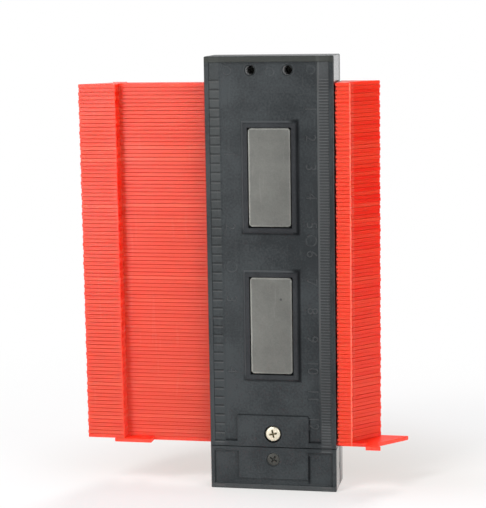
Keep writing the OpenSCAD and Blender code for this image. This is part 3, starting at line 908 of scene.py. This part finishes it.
deep = bmesh.new()
deep_length = deep_high.y - deep_low.y
for side in (-1, 1):
    deep_verts = add_cross_screw(
        deep, head_radius=1.2 * MM, arm=0.85 * MM, width=0.2 * MM, recess=0.5 * MM,
        profile=((1.4 * MM, -0.2 * MM), (1.4 * MM, -1.2 * MM), (0.85 * MM, -1.2 * MM),
                 (0.85 * MM, 0.2 * MM - deep_length), (0.6 * MM, -deep_length)))
    stand(deep, deep_verts, side * WELL_X, deep_low.y, WELL_Z, side * 0.5)
finish_screw(deep, "deep_screws", "body", black_screw, "cover_screws")


# Inner pieces that keep their CAD shape

for node, finish in (("tension_insert", pale_brass), ("pressure_strip", spring_steel),
                     ("friction_liner", friction_liner)):
    for material_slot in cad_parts[node].material_slots:
        material_slot.material = finish


# Table, light and camera

LAMP_TARGET = Vector((0.0, 0.0, 0.08))
CAMERA_PLACE = (98.012 * MM, -565.797 * MM, 171.01 * MM)
CAMERA_DEGREES = (81.3213, 0.8919, 10.8009)
SENSOR_WIDTH = 36.0
LENS_LENGTH = 117.1587


def seen_directly(tree, mirrored=1.0):
    """1 for what the camera sees, a given share of it in a mirror or through glass, 0 for light on things."""
    path = place(tree, "ShaderNodeLightPath").outputs
    bent = either(tree, path["Is Glossy Ray"], path["Is Transmission Ray"])
    return either(tree, path["Is Camera Ray"], times(tree, bent, mirrored))


def make_table():
    """A wide table that shows white, keeps the gauge's shadow and has a faint warm painted shade round its
    foot.
    """
    bm = bmesh.new()
    bmesh.ops.create_grid(bm, x_segments=1, y_segments=1, size=6.0)
    mesh = bpy.data.meshes.new("table")
    bm.to_mesh(mesh)
    bm.free()
    table = bpy.data.objects.new("table", mesh)
    bpy.context.scene.collection.objects.link(table)
    finish = bpy.data.materials.new("white table")
    finish.use_nodes = True
    tree = finish.node_tree
    tree.nodes.clear()
    vector = own_vector(tree)
    tone = fade(tree, noise(tree, vector, 6.0), 0.3, 0.7)
    white = mixed(tree, tone, (0.90, 0.895, 0.90, 1), (0.94, 0.935, 0.94, 1))
    cloth = place(tree, "ShaderNodeBsdfDiffuse", None, {"Color": white})
    away = place(tree, "ShaderNodeVectorMath", {"operation": "LENGTH"}, {0: vector}).outputs["Value"]
    # a faint warm painted shade beside and behind the gauge's foot
    beside = fade(tree, away, 30.0 * MM, 118.0 * MM, 1.0, 0.0)
    behind = fade(tree, own_place(tree)[1], -34.0 * MM, 18.0 * MM)
    shade = mixed(tree, times(tree, beside, behind), (1, 1, 1, 1), (0.76, 0.735, 0.69, 1))
    glow = place(tree, "ShaderNodeEmission", None, {"Color": shade, "Strength": 1.0})
    share = times(tree, seen_directly(tree), fade(tree, away, 60.0 * MM, 280.0 * MM, 0.62, 1.0))
    both = place(tree, "ShaderNodeMixShader", None, {0: share, 1: cloth.outputs[0], 2: glow.outputs[0]})
    place(tree, "ShaderNodeOutputMaterial", None, {"Surface": both.outputs[0]})
    mesh.materials.append(finish)
    table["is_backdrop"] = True


def make_room():
    """A soft room: white where it is seen, in mirrors only behind the gauge, and an even pale light."""
    room = bpy.data.worlds.new("white room")
    room.use_nodes = True
    tree = room.node_tree
    tree.nodes.clear()
    soft = place(tree, "ShaderNodeBackground", None, {"Color": (0.96, 0.98, 1.0, 1), "Strength": 0.18})
    white = place(tree, "ShaderNodeBackground", None, {"Color": (1, 1, 1, 1), "Strength": 1.0})
    share = seen_directly(tree, fade(tree, own_place(tree)[1], -0.35, 0.15))
    both = place(tree, "ShaderNodeMixShader", None, {0: share, 1: soft.outputs[0], 2: white.outputs[0]})
    place(tree, "ShaderNodeOutputWorld", None, {"Surface": both.outputs[0]})
    bpy.context.scene.world = room


def add_lamp(name, location, width, height, power):
    """A soft lamp, as wide and as high as given, that points at the middle of the gauge."""
    lamp = bpy.data.lights.new(name, "AREA")
    lamp.shape = "RECTANGLE"
    lamp.size = width
    lamp.size_y = height
    lamp.energy = power
    holder = bpy.data.objects.new(name, lamp)
    holder.location = location
    holder.rotation_euler = (LAMP_TARGET - Vector(location)).to_track_quat("-Z", "Y").to_euler()
    bpy.context.scene.collection.objects.link(holder)


def add_camera():
    """The camera of the photograph, fitted to the ruler ticks and the outlines."""
    lens = bpy.data.cameras.new("camera")
    lens.sensor_width = SENSOR_WIDTH
    lens.lens = LENS_LENGTH
    holder = bpy.data.objects.new("camera", lens)
    holder.location = CAMERA_PLACE
    holder.rotation_euler = [math.radians(angle) for angle in CAMERA_DEGREES]
    bpy.context.scene.collection.objects.link(holder)
    bpy.context.scene.camera = holder


make_table()
make_room()
add_lamp("lamp above left", (-0.36, -0.50, 0.66), width=0.24, height=0.24, power=3.7)
add_lamp("window left", (-0.28, -0.55, 0.11), width=0.18, height=0.16, power=1.2)
add_lamp("fill right", (0.55, -0.40, 0.25), width=0.50, height=0.50, power=3.3)
add_lamp("lamp behind", (0.10, 0.60, 0.78), width=0.36, height=0.36, power=5.0)
add_camera()
bpy.context.scene.view_settings.view_transform = "Standard"

low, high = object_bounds()
